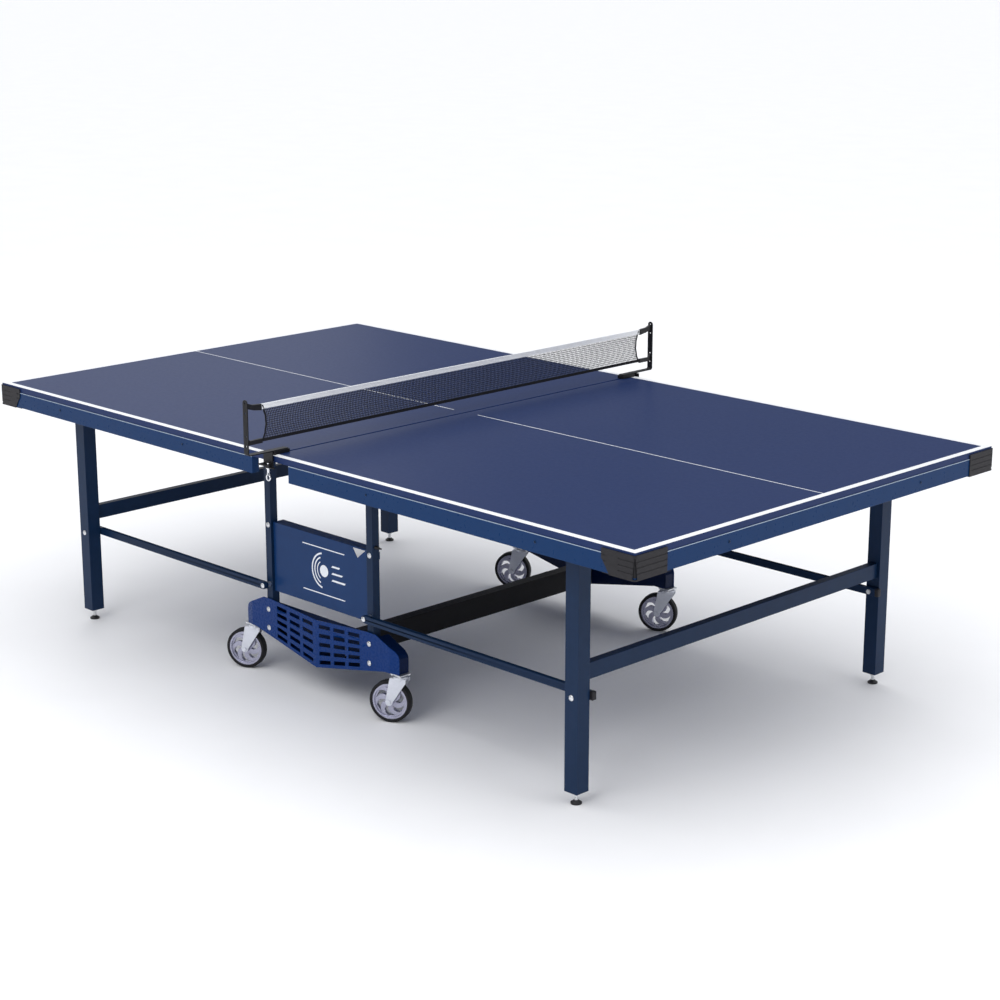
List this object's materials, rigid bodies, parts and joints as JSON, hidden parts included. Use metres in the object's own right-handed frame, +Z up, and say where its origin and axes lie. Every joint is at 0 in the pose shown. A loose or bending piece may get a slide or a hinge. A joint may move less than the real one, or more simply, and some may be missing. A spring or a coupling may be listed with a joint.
{
  "type": "ping pong table",
  "caption": "Folding table tennis table: blue boards on steel-framed legs, wheeled chassis with a bat pocket and a clip-on net.",
  "frame": {"origin": "centre of the table's footprint, on the floor below the middle of the net", "axes": "+X along the table, +Y across it along the net, +Z up"},
  "size_m": [2.749, 1.693, 0.93],
  "materials": {
    "black_steel": "satin black powder coat",
    "cover_steel": "bright blue gloss paint",
    "frame_steel": "dark blue satin powder coat",
    "panel_steel": null,
    "zinc": "bright zinc plate",
    "wheel_plastic": "silver-grey moulded plastic",
    "tyre_rubber": "smooth black rubber",
    "board_lacquer": "dark blue satin lacquer on fibreboard with white lines",
    "apron_steel": "blue gloss paint",
    "cap_plastic": "charcoal moulded plastic",
    "foot_plastic": "black moulded plastic on a zinc stem",
    "net_steel": "black powder coat",
    "arm_plastic": "black moulded plastic",
    "chrome_wire": "chrome",
    "net_fabric": "black knotted netting with a white top tape"
  },
  "bodies": {
    "chassis": {"crossbeam": "black_steel", "base_channel_near": "cover_steel", "base_channel_far": "cover_steel", "side_cover_near": "cover_steel", "side_cover_far": "cover_steel", "post_near_left": "frame_steel", "post_near_right": "frame_steel", "post_far_left": "frame_steel", "post_far_right": "frame_steel", "rack_panel": "panel_steel", "caster_plates": "zinc", "chassis_bolts": "zinc", "pivot_bolts": "zinc"},
    "half_left": {"board_left": "board_lacquer", "apron_left": "apron_steel", "corner_cap_near_left": "cap_plastic", "corner_cap_far_left": "cap_plastic", "under_frame_left": "black_steel"},
    "legs_left": {"leg_near_left": "frame_steel", "leg_far_left": "frame_steel", "leg_crossbar_left": "frame_steel", "leg_bolts_left": "zinc"},
    "links_left": {"link_near_left": "frame_steel", "link_far_left": "frame_steel"},
    "half_right": {"board_right": "board_lacquer", "apron_right": "apron_steel", "corner_cap_near_right": "cap_plastic", "corner_cap_far_right": "cap_plastic", "under_frame_right": "black_steel"},
    "legs_right": {"leg_near_right": "frame_steel", "leg_far_right": "frame_steel", "leg_crossbar_right": "frame_steel", "leg_bolts_right": "zinc"},
    "links_right": {"link_near_right": "frame_steel", "link_far_right": "frame_steel"},
    "foot_near_left": {"foot_near_left": "foot_plastic"},
    "caster_near_left": {"fork_near_left": "zinc"},
    "wheel_near_left": {"wheel_near_left": "wheel_plastic", "tyre_near_left": "tyre_rubber"},
    "foot_near_right": {"foot_near_right": "foot_plastic"},
    "caster_near_right": {"fork_near_right": "zinc"},
    "wheel_near_right": {"wheel_near_right": "wheel_plastic", "tyre_near_right": "tyre_rubber"},
    "foot_far_left": {"foot_far_left": "foot_plastic"},
    "caster_far_left": {"fork_far_left": "zinc"},
    "wheel_far_left": {"wheel_far_left": "wheel_plastic", "tyre_far_left": "tyre_rubber"},
    "foot_far_right": {"foot_far_right": "foot_plastic"},
    "caster_far_right": {"fork_far_right": "zinc"},
    "wheel_far_right": {"wheel_far_right": "wheel_plastic", "tyre_far_right": "tyre_rubber"},
    "net_set": {"net_bracket_near": "net_steel", "net_bracket_far": "net_steel", "net_arms": "arm_plastic", "net": "net_fabric"},
    "clamp_near": {"clamp_jaw_near": "net_steel", "eye_screw_near": "chrome_wire"},
    "clamp_far": {"clamp_jaw_far": "net_steel", "eye_screw_far": "chrome_wire"}
  },
  "joints": [
    {"name": "half_left_fold", "type": "hinge", "parent": "chassis", "child": "half_left", "pos_m": [-0.226, 0, 0.718], "axis": [0, 1, 0], "range_deg": [0, 90]},
    {"name": "legs_left_fold", "type": "hinge", "parent": "half_left", "child": "legs_left", "pos_m": [-1.08, 0, 0.718], "axis": [0, 1, 0], "range_deg": [-90, 0]},
    {"name": "links_left_swing", "type": "hinge", "parent": "chassis", "child": "links_left", "pos_m": [-0.226, 0, 0.295], "axis": [0, 1, 0], "range_deg": [0, 90]},
    {"name": "half_right_fold", "type": "hinge", "parent": "chassis", "child": "half_right", "pos_m": [0.226, 0, 0.718], "axis": [0, -1, 0], "range_deg": [0, 90]},
    {"name": "legs_right_fold", "type": "hinge", "parent": "half_right", "child": "legs_right", "pos_m": [1.08, 0, 0.718], "axis": [0, -1, 0], "range_deg": [-90, 0]},
    {"name": "links_right_swing", "type": "hinge", "parent": "chassis", "child": "links_right", "pos_m": [0.226, 0, 0.295], "axis": [0, -1, 0], "range_deg": [0, 90]},
    {"name": "foot_near_left_screw", "type": "slide", "parent": "legs_left", "child": "foot_near_left", "axis": [0, 0, -1], "range_m": [0, 0.015]},
    {"name": "foot_near_right_screw", "type": "slide", "parent": "legs_right", "child": "foot_near_right", "axis": [0, 0, -1], "range_m": [0, 0.015]},
    {"name": "foot_far_left_screw", "type": "slide", "parent": "legs_left", "child": "foot_far_left", "axis": [0, 0, -1], "range_m": [0, 0.015]},
    {"name": "foot_far_right_screw", "type": "slide", "parent": "legs_right", "child": "foot_far_right", "axis": [0, 0, -1], "range_m": [0, 0.015]},
    {"name": "caster_near_left_swivel", "type": "hinge", "parent": "chassis", "child": "caster_near_left", "pos_m": [-0.328, -0.576, 0.142], "axis": [0, 0, 1], "continuous": true},
    {"name": "wheel_near_left_roll", "type": "hinge", "parent": "caster_near_left", "child": "wheel_near_left", "pos_m": [-0.35496, -0.58915, 0.0625], "axis": [-0.4384, 0.8988, 0], "continuous": true},
    {"name": "caster_near_right_swivel", "type": "hinge", "parent": "chassis", "child": "caster_near_right", "pos_m": [0.328, -0.576, 0.142], "axis": [0, 0, 1], "continuous": true},
    {"name": "wheel_near_right_roll", "type": "hinge", "parent": "caster_near_right", "child": "wheel_near_right", "pos_m": [0.30104, -0.58915, 0.0625], "axis": [-0.4384, 0.8988, 0], "continuous": true},
    {"name": "caster_far_left_swivel", "type": "hinge", "parent": "chassis", "child": "caster_far_left", "pos_m": [-0.328, 0.576, 0.142], "axis": [0, 0, 1], "continuous": true},
    {"name": "wheel_far_left_roll", "type": "hinge", "parent": "caster_far_left", "child": "wheel_far_left", "pos_m": [-0.35496, 0.56285, 0.0625], "axis": [-0.4384, 0.8988, 0], "continuous": true},
    {"name": "caster_far_right_swivel", "type": "hinge", "parent": "chassis", "child": "caster_far_right", "pos_m": [0.328, 0.576, 0.142], "axis": [0, 0, 1], "continuous": true},
    {"name": "wheel_far_right_roll", "type": "hinge", "parent": "caster_far_right", "child": "wheel_far_right", "pos_m": [0.30104, 0.56285, 0.0625], "axis": [-0.4384, 0.8988, 0], "continuous": true},
    {"name": "net_lift", "type": "slide", "parent": "chassis", "child": "net_set", "axis": [0, 0, 1], "range_m": [0, 0.25]},
    {"name": "clamp_near_turn", "type": "hinge", "parent": "net_set", "child": "clamp_near", "pos_m": [0.012, -0.78, 0.7305], "axis": [0, 0, 1], "range_deg": [0, 90]},
    {"name": "clamp_far_turn", "type": "hinge", "parent": "net_set", "child": "clamp_far", "pos_m": [0.012, 0.78, 0.7305], "axis": [0, 0, -1], "range_deg": [0, 90]}
  ],
  "couplings": [
    {"joint": "legs_left_fold", "follows": "half_left_fold", "ratio": -1},
    {"joint": "links_left_swing", "follows": "half_left_fold", "ratio": 1},
    {"joint": "legs_right_fold", "follows": "half_right_fold", "ratio": -1},
    {"joint": "links_right_swing", "follows": "half_right_fold", "ratio": 1}
  ]
}
